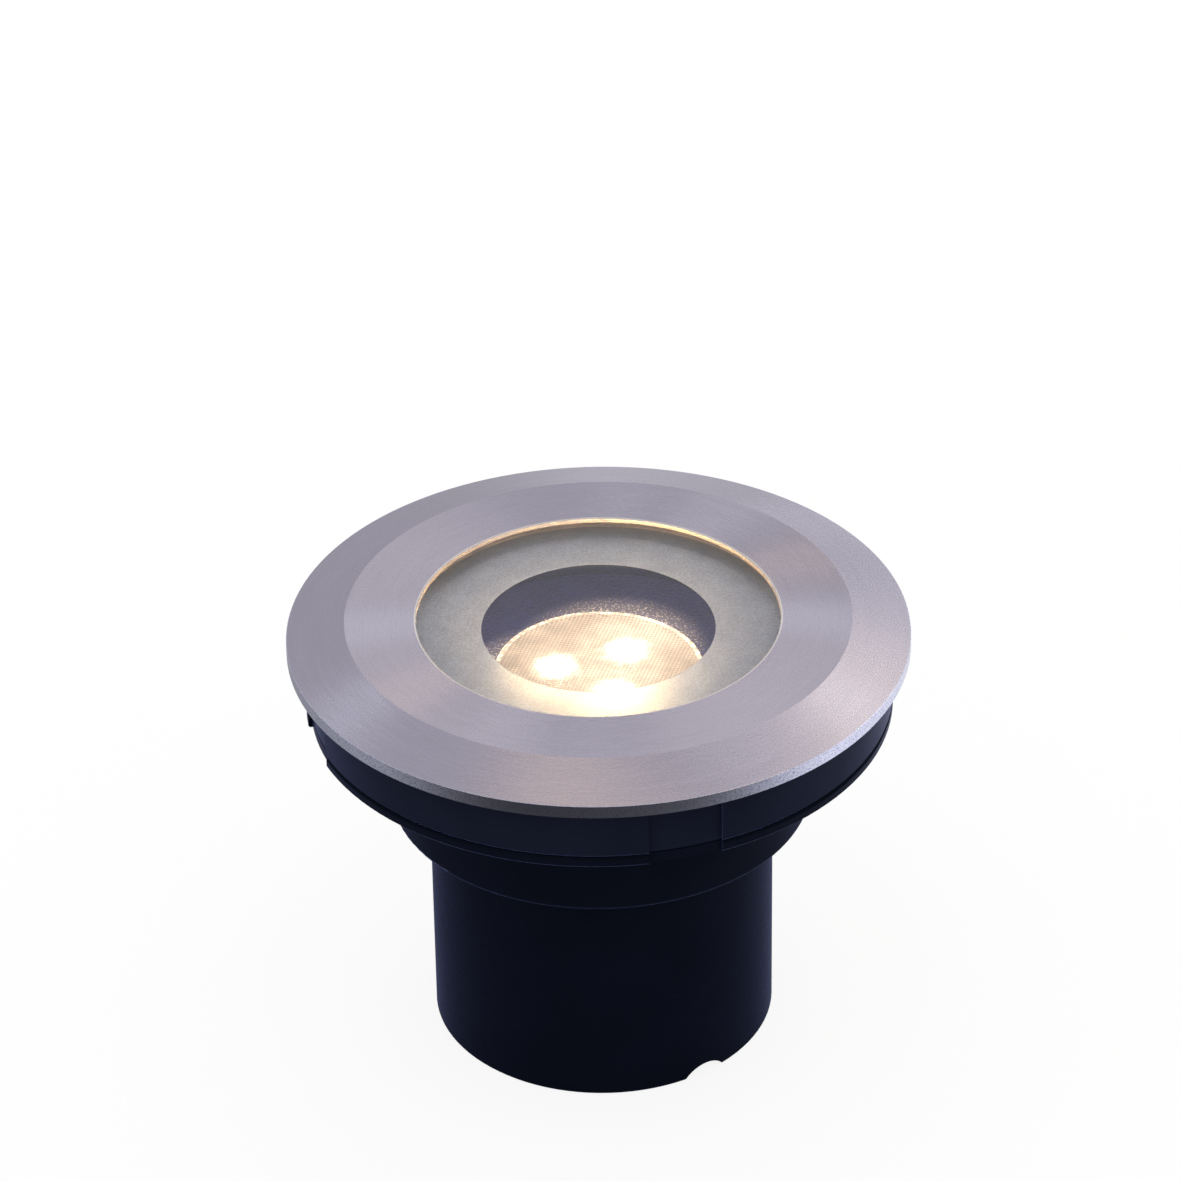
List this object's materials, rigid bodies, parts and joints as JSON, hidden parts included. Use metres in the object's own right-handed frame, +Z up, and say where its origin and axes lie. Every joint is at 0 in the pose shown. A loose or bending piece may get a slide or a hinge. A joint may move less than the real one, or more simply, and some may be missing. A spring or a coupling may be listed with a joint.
{
  "type": "recessed garden uplight",
  "caption": "Round recessed ground uplight with a stainless trim ring, frosted cover glass, lit lens and a stepped black ground sleeve that the lamp lifts out of.",
  "frame": {"origin": "centre of the ground sleeve's lower edge, on the surface that it stands on", "axes": "+Z up along the lamp's axis, out of the cover glass; -Y is the front of the picture"},
  "size_m": [0.11, 0.11, 0.0825],
  "materials": {
    "black_plastic": "moulded, satin gloss",
    "brushed_steel": "turned and brushed in circles",
    "glass": "clear centre, frosted band on the underside",
    "silicone": "matt",
    "screw_steel": "plain stainless",
    "aluminium": "as extruded",
    "thermal_pad": "matt grey",
    "white_board": "white solder mask",
    "emitter": "warm white phosphor",
    "lens_plastic": "clear moulded acrylic, lit",
    "matt_black": "matt",
    "grained_black": "fine grain",
    "green_board": "green solder mask",
    "ferrite": "dull grey",
    "capacitor_can": "drawn can",
    "chip_resin": "moulded resin",
    "terminal_green": "moulded",
    "red_insulation": "smooth",
    "black_insulation": "smooth",
    "gland_nylon": "moulded nylon",
    "spring_steel": "rolled"
  },
  "bodies": {
    "sleeve": {"ground_sleeve": "black_plastic"},
    "lamp": {"lamp_body": "black_plastic", "trim_ring": "brushed_steel", "cover_glass": "glass", "glass_gasket": "silicone", "ring_screws": "screw_steel", "heat_sink": "aluminium", "heat_sink_screws": "screw_steel", "thermal_pad": "thermal_pad", "led_board": "white_board", "board_screws": "screw_steel", "led_emitters": "emitter", "lens": "lens_plastic", "lens_holder": "matt_black", "baffle": "grained_black", "rear_cap": "black_plastic", "cap_o_ring": "silicone", "cap_screws": "screw_steel", "driver_board": "green_board", "driver_screws": "screw_steel", "driver_inductor": "ferrite", "driver_capacitors": "capacitor_can", "bridge_rectifier": "chip_resin", "driver_chip": "chip_resin", "terminal_block": "terminal_green", "lead_positive": "red_insulation", "lead_negative": "black_insulation", "gland_body": "gland_nylon", "gland_washer": "silicone", "gland_locknut": "gland_nylon", "gland_seal": "silicone", "gland_nut": "gland_nylon", "spring_clips": "spring_steel", "clip_screws": "screw_steel"}
  },
  "joints": [
    {"name": "lamp_lift", "type": "slide", "parent": "sleeve", "child": "lamp", "axis": [0, 0, 1], "range_m": [0, 0.07]}
  ]
}
